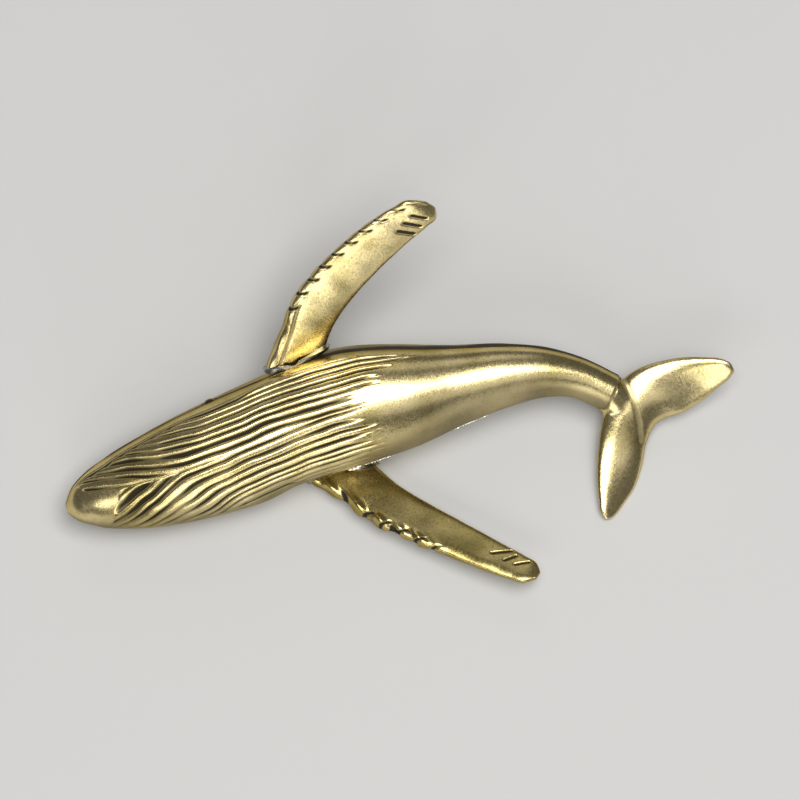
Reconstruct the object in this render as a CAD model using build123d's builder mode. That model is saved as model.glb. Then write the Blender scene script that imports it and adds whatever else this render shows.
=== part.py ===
import os
from math import cos, radians, sin

from build123d import *

# Hollow brass whale lying on its back. It is modelled belly up: X runs from the chin to the
# tail, Y to the whale's left and Z out of the belly. At the end it is rolled over to lie as
# it rests. All sizes are millimetres and all angles degrees.

# Body, cast as two halves that meet on the plane through both flanks
BODY_LENGTH = 82.0
HALF_WIDTH = 8.5
BELLY_RATIO = 0.85
WALL = 1.6
SOLDER = 0.3
SPINE_BEND = 8.15
FLANK_BULGE = 0.10
BULGE_FROM = 0.3
BULGE_FADE = 0.15
BULGE_LEAST = 0.2
BULGE_ROUND = 0.7
FLANK_DROP = 0.3

# Throat pleats, cut along the belly between the two plain flanks
PLEAT_COUNT = 18
PLEAT_DEPTH = 0.45
PLEAT_LAND = 0.55
PLAIN_FLANK = 12
PLEAT_FROM = 0.02
PLEAT_TO = 0.64
PLEAT_SPREAD = 0.08
PLEAT_FADE = 0.12

# Body stations: place along the body, share of the spine's bend, of the half width, back ratio
STATIONS = (
    (0.001, -0.399, 0.08, 0.70),
    (0.012, -0.393, 0.23, 0.63),
    (0.041, -0.368, 0.44, 0.57),
    (0.096, -0.350, 0.65, 0.59),
    (0.181, -0.313, 0.84, 0.66),
    (0.284, -0.227, 0.96, 0.76),
    (0.405, -0.061, 0.97, 0.85),
    (0.539, 0.012, 1.00, 0.90),
    (0.636, -0.061, 0.88, 1.00),
    (0.733, -0.110, 0.675, 1.05),
    (0.830, -0.179, 0.52, 1.05),
    (0.900, -0.331, 0.41, 1.04),
    (0.955, -0.607, 0.34, 1.02),
    (1.000, -1.000, 0.33, 0.92),
)
CAVITY_FIRST = 3
CAVITY_LAST = 9

# Eyes and dorsal fin on the back casting
EYE_RADIUS = 0.75
EYE_PLACE = 0.312
EYE_DROP = 1.1
FIN_PLACE = 0.68
FIN_HEIGHT = 3.2
FIN_CHORD = 7.0
FIN_THICKNESS = 2.4
FIN_RAKE = 3.0
FIN_ROOT = 1.2

# Rise of the fin, rake, chord and thickness as shares
FIN_STATIONS = ((0, 0, 1, 1), (0.6, 0.5, 0.55, 0.6), (1, 1, 0.16, 0.25))

# Blades of flippers and fluke: share of the chord in front of the thickest point
THICKEST = 1 / 3

# Flippers, each with a peg through the wall of the back casting
FLIPPER_REACH = 31.4
FLIPPER_CURL = 0.15
FLIPPER_CHORD = 7.8
FLIPPER_THICKNESS = 2.5
FLIPPER_DROP = 2.2
LEFT_PLACE = 0.463
LEFT_SWEEP = 52.5
LEFT_BOW = 2.1
LEFT_RISE = 7.0
LEFT_TIP = 1.0
RIGHT_PLACE = 0.494
RIGHT_SWEEP = 49
RIGHT_BOW = 0.4
RIGHT_RISE = 13.0
RIGHT_TIP = 0.7
KNOB_COUNT = 10
KNOB_RADIUS = 0.85
KNOB_TAPER = 0.45
KNOB_SINK = 0.6
KNOB_FROM = 0.2
KNOB_TO = 0.95
PEG_RADIUS = 0.9
PEG_LENGTH = 3.2
PEG_CLEARANCE = 0.05
BEAD = 0.6
BEAD_STATIONS = 4

# Share of the flipper's length, leading and trailing edge as shares of the chord, thickness
FLIPPER_STATIONS = (
    (-0.10, 0.50, 0.50, 1.00),
    (0.10, 0.57, 0.42, 1.00),
    (0.28, 0.70, 0.29, 0.82),
    (0.45, 0.67, 0.29, 0.70),
    (0.62, 0.62, 0.31, 0.62),
    (0.78, 0.55, 0.32, 0.54),
    (0.90, 0.46, 0.32, 0.46),
    (0.97, 0.34, 0.26, 0.38),
    (0.997, 0.14, 0.11, 0.20),
)

# Fluke, fixed to the tail stock by a peg
FLUKE_SPAN = 29.8
FLUKE_CHORD = 9.0
FLUKE_SWEEP = 10.2
FLUKE_THICKNESS = 2.8
FLUKE_CUP = 3.3
FLUKE_TILT = 1.2
FLUKE_SKEW = 0.8
FLUKE_TURN = 54
FLUKE_SOLDER = 0.25
FLUKE_PEG_RADIUS = 1.0
FLUKE_PEG_LENGTH = 4.5
HUB_LENGTH = 4.0
HUB_WIDTH = 0.8

# Share of the half span, leading edge along the tail, chord and thickness as shares
FLUKE_STATIONS = (
    (0.00, 0.00, 0.90, 1.00),
    (0.18, 0.02, 0.91, 0.86),
    (0.34, 0.10, 0.94, 0.70),
    (0.59, 0.32, 0.83, 0.52),
    (0.76, 0.52, 0.63, 0.42),
    (0.89, 0.72, 0.42, 0.33),
    (0.97, 0.87, 0.22, 0.22),
    (0.998, 0.97, 0.05, 0.10),
)

# Lying pose: roll about the body and lift of the tail
LYING_ROLL = 29.9
LYING_PITCH = 1.6


def station_point(station):
    return Vector(BODY_LENGTH * (station[0] - 0.5), SPINE_BEND * station[1], 0)


def along(index):
    # Direction of the spine at a station, from its two neighbours
    ahead = station_point(STATIONS[min(index + 1, len(STATIONS) - 1)])
    behind = station_point(STATIONS[max(index - 1, 0)])
    return (ahead - behind).normalized()


def station_plane(index):
    way = along(index)
    return Plane(
        origin=station_point(STATIONS[index]),
        x_dir=(-way.Y, way.X, 0),
        z_dir=way,
    )


def body_value(place, column):
    # Value of a column between two stations
    for first, second in zip(STATIONS, STATIONS[1:]):
        if first[0] <= place <= second[0]:
            share = (place - first[0]) / (second[0] - first[0])
            return first[column] + share * (second[column] - first[column])
    return STATIONS[-1][column]


def pleat_depth(place, angle):
    # The grooves fade in at the chin, and towards the tail the outer ones run on longest
    last = PLEAT_TO + PLEAT_SPREAD * abs(cos(radians(angle)))
    fade_in = (place - PLEAT_FROM) / PLEAT_FADE
    fade_out = (last - place) / PLEAT_FADE
    return PLEAT_DEPTH * max(0.0, min(1.0, fade_in, fade_out))


def belly_points(index):
    # Half section of the belly: plain flanks, and between them lands parted by V grooves
    place, _, share, _ = STATIONS[index]
    width = HALF_WIDTH * share
    depth = width * BELLY_RATIO
    step = (180 - 2 * PLAIN_FLANK) / PLEAT_COUNT
    half_land = step * PLEAT_LAND / 2
    places = [(0, 0.0), (PLAIN_FLANK / 2, 0.0)]
    for number in range(PLEAT_COUNT):
        groove = PLAIN_FLANK + step * number
        middle = groove + step / 2
        places += [(groove, pleat_depth(place, groove)), (middle - half_land, 0.0), (middle + half_land, 0.0)]
    groove = 180 - PLAIN_FLANK
    places += [(groove, pleat_depth(place, groove)), (180 - PLAIN_FLANK / 2, 0.0), (180, 0.0)]
    points = []
    for angle, inset in places:
        turn = radians(angle)
        points.append(((width - inset) * cos(turn), SOLDER / 2 + (depth - inset) * sin(turn)))
    return points


def back_outline(index, growth=0.0):
    # Half section of the back: the flanks swell below the joint, then round over the spine
    place, _, share, ratio = STATIONS[index]
    width = HALF_WIDTH * share
    depth = width * ratio + growth
    swell = width * FLANK_BULGE * min(1.0, max(BULGE_LEAST, (place - BULGE_FROM) / BULGE_FADE))
    base = SOLDER / 2
    drop = base + (depth - base) * FLANK_DROP
    width += growth
    middle = width + BULGE_ROUND * swell
    ThreePointArc((width, -base), (middle, -(base + drop) / 2), (width + swell, -drop))
    EllipticalCenterArc((0, -drop), width + swell, depth - drop, 180, arc_size=180)
    ThreePointArc((-width - swell, -drop), (-middle, -(base + drop) / 2), (-width, -base))
    Line((-width, -base), (width, -base))


def cavity_outline(index):
    _, _, share, ratio = STATIONS[index]
    width = HALF_WIDTH * share
    EllipticalCenterArc((0, 0), width - WALL, width * BELLY_RATIO - WALL - PLEAT_DEPTH, 0, arc_size=180)
    EllipticalCenterArc((0, 0), width - WALL, width * ratio - WALL, 180, arc_size=180)


def teardrop(lead, trail, thickness):
    # Blade section, two half ellipses that meet where it is thickest
    thick = lead - (lead + trail) * THICKEST
    EllipticalCenterArc((thick, 0), lead - thick, thickness / 2, -90, arc_size=180)
    EllipticalCenterArc((thick, 0), thick + trail, thickness / 2, 90, arc_size=180)


# Belly casting before it is hollowed
with BuildPart() as belly_skin:
    for number in range(len(STATIONS)):
        with BuildSketch(station_plane(number)):
            with BuildLine():
                Polyline(*belly_points(number), close=True)
            make_face()
    loft()

# Back casting before it is hollowed
with BuildPart() as back_skin:
    for number in range(len(STATIONS)):
        with BuildSketch(station_plane(number)):
            with BuildLine():
                back_outline(number)
            make_face()
    loft()

# Hollow inside the trunk and head
with BuildPart() as cavity:
    for number in range(CAVITY_FIRST, CAVITY_LAST + 1):
        with BuildSketch(station_plane(number)):
            with BuildLine():
                cavity_outline(number)
            make_face()
    loft()

# Tail end, where the fluke is fixed
stock_end = station_plane(len(STATIONS) - 1)
fluke_seat = stock_end.offset(FLUKE_SOLDER)

with BuildPart() as belly_casting:
    add(belly_skin.part)
    add(cavity.part, mode=Mode.SUBTRACT)
    with Locations(stock_end.location):
        Cylinder(
            FLUKE_PEG_RADIUS + PEG_CLEARANCE,
            2 * (FLUKE_PEG_LENGTH + PEG_CLEARANCE),
            mode=Mode.SUBTRACT,
        )

# Solder between the halves, shaped by the rim of the belly casting
with BuildPart() as flank_solder:
    extrude(belly_casting.faces().sort_by(Axis.Z)[0], amount=SOLDER, dir=(0, 0, -1))


# Side of each flipper, place of its root along the body, sweep, bow, rise and breadth of the tip
LEFT = (1, LEFT_PLACE, LEFT_SWEEP, LEFT_BOW, LEFT_RISE, LEFT_TIP)
RIGHT = (-1, RIGHT_PLACE, RIGHT_SWEEP, RIGHT_BOW, RIGHT_RISE, RIGHT_TIP)


def flipper_root(flipper):
    # Middle of the root, on the flank of the back casting
    side, place = flipper[:2]
    flank = SPINE_BEND * body_value(place, 1) + side * HALF_WIDTH * body_value(place, 2)
    return Vector(BODY_LENGTH * (place - 0.5), flank, -FLIPPER_DROP)


def flipper_plane(flipper, share):
    # Section across the blade, which sweeps back, rises towards the tip and bows forward
    side, _, sweep, bow, tip_rise, _ = flipper
    turn = radians(sweep)
    out = Vector(sin(turn), side * cos(turn), 0)
    slope = tip_rise * (1 - FLIPPER_CURL + 2 * FLIPPER_CURL * share)
    rise = tip_rise * share * (1 - FLIPPER_CURL + FLIPPER_CURL * share)
    blade = (out * FLIPPER_REACH + Vector(0, 0, slope)).normalized()
    lead = (blade * blade.X - Vector(1, 0, 0)).normalized()
    middle = flipper_root(flipper) + out * (share * FLIPPER_REACH)
    middle += Vector(0, 0, rise)
    middle += lead * (4 * bow * share * (1 - share))
    return Plane(middle, x_dir=lead, z_dir=blade)


def peg_plane(flipper):
    # Peg across the body, through the middle of the flipper's root
    return Plane(flipper_root(flipper), x_dir=(1, 0, 0), z_dir=(0, flipper[0], 0))


def flipper_chord(flipper, share):
    # The blade narrows evenly towards its tip
    return FLIPPER_CHORD * (1 - (1 - flipper[-1]) * share)


def leading_edge(share):
    # Share of the chord by which the leading edge stands forward
    for first, second in zip(FLIPPER_STATIONS, FLIPPER_STATIONS[1:]):
        if first[0] <= share <= second[0]:
            step = (share - first[0]) / (second[0] - first[0])
            return first[1] + step * (second[1] - first[1])
    return 0.0


def make_flipper(flipper):
    with BuildPart() as blade:
        for share, front, rear, thickness in FLIPPER_STATIONS:
            chord = flipper_chord(flipper, share)
            with BuildSketch(flipper_plane(flipper, share)):
                with BuildLine():
                    teardrop(front * chord, rear * chord, thickness * FLIPPER_THICKNESS)
                make_face()
        loft()
        for number in range(KNOB_COUNT):
            step = number / (KNOB_COUNT - 1)
            share = KNOB_FROM + (KNOB_TO - KNOB_FROM) * step
            size = KNOB_RADIUS * (1 - KNOB_TAPER * step)
            edge = leading_edge(share) * flipper_chord(flipper, share) - size * KNOB_SINK
            with Locations(flipper_plane(flipper, share).location):
                with Locations((edge, 0, 0)):
                    Sphere(size)
        add(back_skin.part, mode=Mode.SUBTRACT)
        add(flank_solder.part, mode=Mode.SUBTRACT)
        with Locations(peg_plane(flipper).location):
            Cylinder(PEG_RADIUS, 2 * PEG_LENGTH)
    return blade


def make_bead(flipper, blade):
    # Solder round the root: a swollen root kept where it hugs the flank
    with BuildPart() as bead:
        for share, front, rear, thickness in FLIPPER_STATIONS[:BEAD_STATIONS]:
            chord = flipper_chord(flipper, share)
            with BuildSketch(flipper_plane(flipper, share)):
                with BuildLine():
                    teardrop(
                        front * chord + BEAD,
                        rear * chord + BEAD,
                        thickness * FLIPPER_THICKNESS + 2 * BEAD,
                    )
                make_face()
        loft()
        add(back_swollen.part, mode=Mode.INTERSECT)
        add(back_skin.part, mode=Mode.SUBTRACT)
        add(blade.part, mode=Mode.SUBTRACT)
    return bead


# Back casting grown by the height of the solder beads
with BuildPart() as back_swollen:
    for number in range(len(STATIONS)):
        with BuildSketch(station_plane(number)):
            with BuildLine():
                back_outline(number, BEAD)
            make_face()
    loft()

left_flipper = make_flipper(LEFT)
right_flipper = make_flipper(RIGHT)
left_flipper_solder = make_bead(LEFT, left_flipper)
right_flipper_solder = make_bead(RIGHT, right_flipper)

# Back casting with its eyes, dorsal fin and the holes for the pegs
fin_shift = SPINE_BEND * body_value(FIN_PLACE, 1)
fin_base = HALF_WIDTH * body_value(FIN_PLACE, 2) * body_value(FIN_PLACE, 3) - FIN_ROOT
with BuildPart() as back_casting:
    add(back_skin.part)
    add(cavity.part, mode=Mode.SUBTRACT)
    for side in (1, -1):
        eye_side = SPINE_BEND * body_value(EYE_PLACE, 1) + side * HALF_WIDTH * body_value(EYE_PLACE, 2)
        with Locations((BODY_LENGTH * (EYE_PLACE - 0.5), eye_side, -EYE_DROP)):
            Sphere(EYE_RADIUS)
    for rise, rake, chord, thickness in FIN_STATIONS:
        middle = (
            BODY_LENGTH * (FIN_PLACE - 0.5) + rake * FIN_RAKE,
            fin_shift,
            -fin_base - rise * (FIN_HEIGHT + FIN_ROOT),
        )
        with BuildSketch(Plane(middle, x_dir=(1, 0, 0), z_dir=(0, 0, -1))):
            Ellipse(chord * FIN_CHORD / 2, thickness * FIN_THICKNESS / 2)
    loft()
    with Locations(peg_plane(LEFT).location, peg_plane(RIGHT).location):
        Cylinder(PEG_RADIUS + PEG_CLEARANCE, 2 * (PEG_LENGTH + PEG_CLEARANCE), mode=Mode.SUBTRACT)
    with Locations(stock_end.location):
        Cylinder(
            FLUKE_PEG_RADIUS + PEG_CLEARANCE,
            2 * (FLUKE_PEG_LENGTH + PEG_CLEARANCE),
            mode=Mode.SUBTRACT,
        )

# Fluke: two lobes in one loft from tip to tip, a hub on the tail stock and a peg
fluke_turn = radians(FLUKE_TURN)
fluke_back = Vector(cos(fluke_turn), -sin(fluke_turn), 0)
fluke_side = Vector(sin(fluke_turn), cos(fluke_turn), 0)
stock_width = HALF_WIDTH * STATIONS[-1][2]
stock_belly = stock_width * BELLY_RATIO + SOLDER / 2
stock_back = stock_width * STATIONS[-1][3]
right_lobe = [(-share, lead, chord, thick) for share, lead, chord, thick in FLUKE_STATIONS[:0:-1]]
with BuildPart() as tail_fluke:
    for share, lead, chord, thickness in right_lobe + list(FLUKE_STATIONS):
        half_chord = chord * FLUKE_CHORD / 2
        middle = fluke_seat.origin + fluke_side * (share * FLUKE_SPAN / 2)
        skew = 4 * FLUKE_SKEW * share * (1 - abs(share))
        middle += fluke_back * (lead * FLUKE_SWEEP + half_chord - skew)
        middle += Vector(0, 0, FLUKE_CUP * share * share - FLUKE_TILT * share)
        with BuildSketch(Plane(middle, x_dir=-fluke_back, z_dir=fluke_side)):
            with BuildLine():
                teardrop(half_chord, half_chord, thickness * FLUKE_THICKNESS)
            make_face()
    loft()
    with BuildSketch(fluke_seat):
        with Locations((0, (stock_belly - stock_back) / 2)):
            Ellipse(stock_width, (stock_belly + stock_back) / 2)
    with BuildSketch(Plane(fluke_seat.origin + fluke_back * HUB_LENGTH, x_dir=fluke_side, z_dir=fluke_back)):
        Ellipse(stock_width * HUB_WIDTH, FLUKE_THICKNESS / 2)
    loft()
    split(bisect_by=fluke_seat, keep=Keep.TOP)
    with Locations(fluke_seat.location):
        Cylinder(FLUKE_PEG_RADIUS, 2 * FLUKE_PEG_LENGTH)

# Solder between tail stock and fluke, with the outline of the stock's end
with BuildPart() as fluke_solder:
    with BuildSketch(stock_end):
        with Locations((0, (stock_belly - stock_back) / 2)):
            Ellipse(stock_width, (stock_belly + stock_back) / 2)
    extrude(amount=FLUKE_SOLDER)
    with Locations(stock_end.location):
        Cylinder(FLUKE_PEG_RADIUS + PEG_CLEARANCE, 2 * FLUKE_PEG_LENGTH, mode=Mode.SUBTRACT)

pieces = {
    "belly_casting": belly_casting,
    "back_casting": back_casting,
    "flank_solder": flank_solder,
    "left_flipper": left_flipper,
    "right_flipper": right_flipper,
    "left_flipper_solder": left_flipper_solder,
    "right_flipper_solder": right_flipper_solder,
    "tail_fluke": tail_fluke,
    "fluke_solder": fluke_solder,
}

# Roll the finished whale into its lying pose, with its lowest point on the ground
roll = Location((0, 0, 0), (LYING_ROLL, 0, 0))
lift = Location((0, 0, 0), (0, -LYING_PITCH, 0))
turned = lift * roll
box = Compound(children=[turned * piece.part for piece in pieces.values()]).bounding_box()
lying = Location((-box.center().X, -box.center().Y, -box.min.Z)) * turned

os.makedirs("parts", exist_ok=True)
for name, piece in pieces.items():
    laid = lying * piece.part
    laid.label = name
    export_step(laid, f"parts/{name}.step")
    print(name, laid.is_valid, len(laid.solids()), round(laid.volume, 1))
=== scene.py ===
import math

import bpy
import numpy as np
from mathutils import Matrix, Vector


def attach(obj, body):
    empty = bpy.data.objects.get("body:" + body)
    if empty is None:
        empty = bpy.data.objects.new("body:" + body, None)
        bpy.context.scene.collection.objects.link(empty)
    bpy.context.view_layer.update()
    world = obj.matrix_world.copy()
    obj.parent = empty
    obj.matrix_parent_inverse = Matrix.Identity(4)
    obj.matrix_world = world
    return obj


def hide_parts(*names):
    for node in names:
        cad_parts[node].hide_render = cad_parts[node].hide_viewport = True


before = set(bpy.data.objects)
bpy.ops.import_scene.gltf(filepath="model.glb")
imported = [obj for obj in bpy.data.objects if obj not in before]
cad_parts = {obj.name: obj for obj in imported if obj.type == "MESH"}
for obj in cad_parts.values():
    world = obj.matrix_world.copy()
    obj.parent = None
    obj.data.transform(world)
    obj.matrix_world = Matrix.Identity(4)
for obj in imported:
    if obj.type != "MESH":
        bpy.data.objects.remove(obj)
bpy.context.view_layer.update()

# Belly casting: lower jaw, pleated throat and smooth belly of the whale, the lower half of a hollow
# brass body. It is cast, its pleats are cut by hand, and it is patinated dark and rubbed bright again.
# It is modelled belly up, X from chin to tail and Y to the whale's left, and then rolled to lie.
MM = 0.001
BODY_LENGTH = 82.0
HALF_WIDTH = 8.5
BELLY_RATIO = 0.85
SPINE_BEND = 8.15
SEAM = 0.3
LYING_ROLL = math.radians(29.9)
LYING_PITCH = math.radians(1.6)
BODY_MIDDLE = np.array((-9.225, 4.380, 8.728))

# Place along the body, share of the spine's bend, share of the half width, depth of the back
BODY_STATIONS = (
    (0.001, -0.399, 0.08, 0.70),
    (0.012, -0.393, 0.23, 0.63),
    (0.041, -0.368, 0.44, 0.57),
    (0.096, -0.350, 0.65, 0.59),
    (0.181, -0.313, 0.84, 0.66),
    (0.284, -0.227, 0.96, 0.76),
    (0.405, -0.061, 0.97, 0.85),
    (0.539, 0.012, 1.00, 0.90),
    (0.636, -0.061, 0.88, 1.00),
    (0.733, -0.110, 0.675, 1.05),
    (0.830, -0.179, 0.52, 1.05),
    (0.900, -0.331, 0.41, 1.04),
    (0.955, -0.607, 0.34, 1.02),
    (1.000, -1.000, 0.33, 0.92),
)
BELLY_ROWS = 380
BELLY_COLUMNS = 246
PLEATED_ROWS = 310
PLEATED_END = 0.67
RIM_COLUMNS = 8
PLEAT_SPACING = 1.13
PLEAT_CROWN = 0.12
PLEAT_GROOVE = 0.46
PLEAT_WIDTH = 0.33
PLEAT_WOBBLE = 0.22
PLEAT_WOBBLE_SCALE = 220.0
PLEAT_SEED = 2.0
PLEAT_RIPPLE = 0.22
PLEAT_FADE = 4.0
PLEAT_PATCHINESS = 0.20
FIRST_PLEAT = 40.5
APEX_PLACE = -23.0
APEX_SIDE = 1.6
LEFT_CHIN = -37.5
RIGHT_CHIN = -34.0
LEFT_NARROW = 3.5
RIGHT_NARROW = 2.7
# Painted shade on the belly's right flank, the lower side as the whale lies: darkened from the rim up and
# further toward the tail stock, standing in for dark surroundings reflected there; it also dulls the brass
# like patina
FLANK_SHADE = 0.50
FLANK_SHADE_EDGE = (1.3, 0.5)
FLANK_PATCHINESS = 0.15
STOCK_SHADE = 0.5
STOCK_SHADE_RUN = (0, 24)
LEFT_SLANT = 0.17
RIGHT_SLANT = 0.32
RIGHT_SHIFT = 0.8
RIGHT_SHIFT_BREADTH = (0, 9)
RIGHT_SHIFT_RUN = (-11, -22)
BEND_LAG = 0.8
APEX_FADE = (1.5, -2)
CHIN_FADE = (-2, 2)
V_EDGE = (0.2, -0.5)
KEEL_EDGE = (0.5, 0.1)
LIP_EDGE = 0.6
BELLY_BREADTH = 10.0
PLEAT_END = 6.0
LEFT_RUN = 11.0
RIGHT_RUN = -4.0
LEFT_LIP = 1.9
RIGHT_LIP = 0.32
LEFT_CHEEK = 0.8
RIGHT_CHEEK = 1.9
LIP_WIDTH = 0.26
LIP_DEPTH = 0.3
LIP_DARK = 0.9
LIP_START = (-40, -36)
LIP_END = (-5, -9)
LEFT_LIP_RISE = (-42, -34)
LEFT_CHEEK_RISE = (-22, -15)
LEFT_CHEEK_FALL = (-8, -12)
RIGHT_CHEEK_RISE = (-25, -13)
RIGHT_CHEEK_FALL = (-4, -10)
CHEEK_SWELL = 0.4
CHEEK_PLACE = -13.0
CHEEK_LENGTH = 4.0
CHEEK_LEVEL = 2.4
CHEEK_BREADTH = 1.4
BRASS_GRAIN = 0.35


def smooth_rows(table, places):
    # Smooth curve through the rows of a table, for each column after the first
    rows = np.array(table, float)
    knots, values = rows[:, 0], rows[:, 1:]
    slopes = np.gradient(values, knots, axis=0)
    index = np.clip(np.searchsorted(knots, places) - 1, 0, len(knots) - 2)
    span = (knots[index + 1] - knots[index])[:, None]
    part = (places - knots[index])[:, None] / span
    rest = 1 - part
    start = rest * rest * ((1 + 2 * part) * values[index] + part * span * slopes[index])
    finish = part * part * ((1 + 2 * rest) * values[index + 1] - rest * span * slopes[index + 1])
    return start + finish


def ease(low, high, value):
    share = np.clip((value - low) / (high - low), 0, 1)
    return share * share * (3 - 2 * share)


def waves(seed, reach, *coordinates):
    # Soft irregular ripple between about -1 and 1, made of a few sines
    random = np.random.default_rng(seed)
    total = 0.0
    for number in range(5):
        angle = random.uniform(0, 2 * math.pi)
        along = sum(random.normal() * value for value in coordinates) / reach
        total = total + np.sin(along + angle)
    return total / 2.6


def lay_down(points):
    # From the modelled body to the lying pose, in metres
    x, y, z = points[..., 0], points[..., 1], points[..., 2]
    across = y * math.cos(LYING_ROLL) - z * math.sin(LYING_ROLL)
    upright = y * math.sin(LYING_ROLL) + z * math.cos(LYING_ROLL)
    along = x * math.cos(LYING_PITCH) - upright * math.sin(LYING_PITCH)
    height = x * math.sin(LYING_PITCH) + upright * math.cos(LYING_PITCH)
    return (np.stack((along, across, height), axis=-1) + BODY_MIDDLE) * MM


def lattice(points):
    # Quads between closed rings of points, with a fan over each end
    rings, count = points.shape[:2]
    place = np.arange(rings * count).reshape(rings, count)
    beside = np.roll(place, -1, axis=1)
    quads = np.stack((place[:-1], beside[:-1], beside[1:], place[1:]), axis=-1).reshape(-1, 4)
    first, last = rings * count, rings * count + 1
    faces = [tuple(quad) for quad in quads.tolist()]
    faces += [(first, b, a) for a, b in zip(place[0].tolist(), beside[0].tolist())]
    faces += [(last, a, b) for a, b in zip(place[-1].tolist(), beside[-1].tolist())]
    ends = np.stack((points[0].mean(0), points[-1].mean(0)))
    return np.vstack((points.reshape(-1, 3), ends)), faces


def make_piece(name, shells):
    # One mesh object from several shells, each with its points, faces and named values
    mesh = bpy.data.meshes.new(name)
    corners, faces, values = [], [], {}
    for points, polygons, named in shells:
        shift = sum(len(block) for block in corners)
        corners.append(lay_down(points))
        faces += [tuple(corner + shift for corner in face) for face in polygons]
        for key in ("phase", "land", "patina_and_shade"):
            values.setdefault(key, []).append(named.get(key, np.zeros(len(points))))
    mesh.from_pydata(np.vstack(corners).tolist(), [], faces)
    for key, blocks in values.items():
        column = mesh.attributes.new(key, "FLOAT", "POINT")
        column.data.foreach_set("value", np.concatenate(blocks).astype(np.float32))
    mesh.polygons.foreach_set("use_smooth", [True] * len(mesh.polygons))
    mesh.update()
    piece = bpy.data.objects.new(name, mesh)
    bpy.context.scene.collection.objects.link(piece)
    return piece


def with_ends(field):
    # Values for a lattice's rings and its two end points
    return np.concatenate((field.reshape(-1), (field[0].mean(), field[-1].mean())))


def body_frame(places):
    # Middle of the body, its sideways direction, half width and depth of the back
    bend, width, back = smooth_rows(BODY_STATIONS, places).T
    middle = np.stack((BODY_LENGTH * (places - 0.5), SPINE_BEND * bend, 0 * places), axis=-1)
    way = np.gradient(middle, places, axis=0)
    way /= np.linalg.norm(way, axis=1)[:, None]
    side = np.stack((-way[:, 1], way[:, 0], 0 * places), axis=-1)
    return middle, side, HALF_WIDTH * width, HALF_WIDTH * width * back


def carving_tree():
    # Lands and grooves that follow a phase: rounded lands, a narrow groove at each whole number
    tree = bpy.data.node_groups.new("carved_lands", "GeometryNodeTree")
    face = tree.interface
    face.new_socket("Geometry", in_out="OUTPUT", socket_type="NodeSocketGeometry")
    face.new_socket("Geometry", in_out="INPUT", socket_type="NodeSocketGeometry")
    for title in ("Crown", "Groove depth", "Groove width", "Wobble", "Wobble scale", "Seed"):
        face.new_socket(title, in_out="INPUT", socket_type="NodeSocketFloat")
    face.new_socket("Material", in_out="INPUT", socket_type="NodeSocketMaterial")
    nodes, link = tree.nodes, tree.links.new
    given = nodes.new("NodeGroupInput")
    result = nodes.new("NodeGroupOutput")

    def named(title):
        node = nodes.new("GeometryNodeInputNamedAttribute")
        node.data_type = "FLOAT"
        node.inputs["Name"].default_value = title
        return node.outputs["Attribute"]

    def maths(operation, first, second=None):
        node = nodes.new("ShaderNodeMath")
        node.operation = operation
        for socket, value in zip(node.inputs, (first, second)):
            if isinstance(value, (int, float)):
                socket.default_value = value
            elif value is not None:
                link(value, socket)
        return node.outputs[0]

    noise = nodes.new("ShaderNodeTexNoise")
    noise.noise_dimensions = "4D"
    noise.inputs["Detail"].default_value = 1.0
    link(given.outputs["Wobble scale"], noise.inputs["Scale"])
    link(given.outputs["Seed"], noise.inputs["W"])
    shake = maths("MULTIPLY", maths("SUBTRACT", noise.outputs[0], 0.5), given.outputs["Wobble"])
    phase = maths("ADD", named("phase"), maths("MULTIPLY", shake, 2.0))
    share = maths("FRACT", phase)
    off_groove = maths("MINIMUM", share, maths("SUBTRACT", 1.0, share))
    ramp = nodes.new("ShaderNodeMapRange")
    ramp.interpolation_type = "SMOOTHSTEP"
    link(off_groove, ramp.inputs["Value"])
    link(given.outputs["Groove width"], ramp.inputs["From Max"])
    ramp.inputs["To Min"].default_value = 1.0
    ramp.inputs["To Max"].default_value = 0.0
    land = named("land")
    cut = maths("MULTIPLY", ramp.outputs["Result"], land)
    round_top = maths("SINE", maths("MULTIPLY", share, math.pi))
    lift = maths("MULTIPLY", maths("MULTIPLY", round_top, given.outputs["Crown"]), land)
    height = maths("SUBTRACT", lift, maths("MULTIPLY", cut, given.outputs["Groove depth"]))
    normal = nodes.new("GeometryNodeInputNormal")
    offset = nodes.new("ShaderNodeVectorMath")
    offset.operation = "SCALE"
    link(normal.outputs[0], offset.inputs[0])
    link(height, offset.inputs["Scale"])
    move = nodes.new("GeometryNodeSetPosition")
    store = nodes.new("GeometryNodeStoreNamedAttribute")
    store.data_type = "FLOAT"
    store.domain = "POINT"
    store.inputs["Name"].default_value = "patina_and_shade"
    link(maths("MAXIMUM", named("patina_and_shade"), cut), store.inputs["Value"])
    realize = nodes.new("GeometryNodeRealizeInstances")
    finish = nodes.new("GeometryNodeSetMaterial")
    link(given.outputs["Geometry"], store.inputs["Geometry"])
    link(store.outputs["Geometry"], move.inputs["Geometry"])
    link(offset.outputs[0], move.inputs["Offset"])
    link(move.outputs["Geometry"], realize.inputs["Geometry"])
    link(realize.outputs["Geometry"], finish.inputs["Geometry"])
    link(given.outputs["Material"], finish.inputs["Material"])
    link(finish.outputs["Geometry"], result.inputs["Geometry"])
    return tree


CARVED_LANDS = carving_tree()


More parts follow.
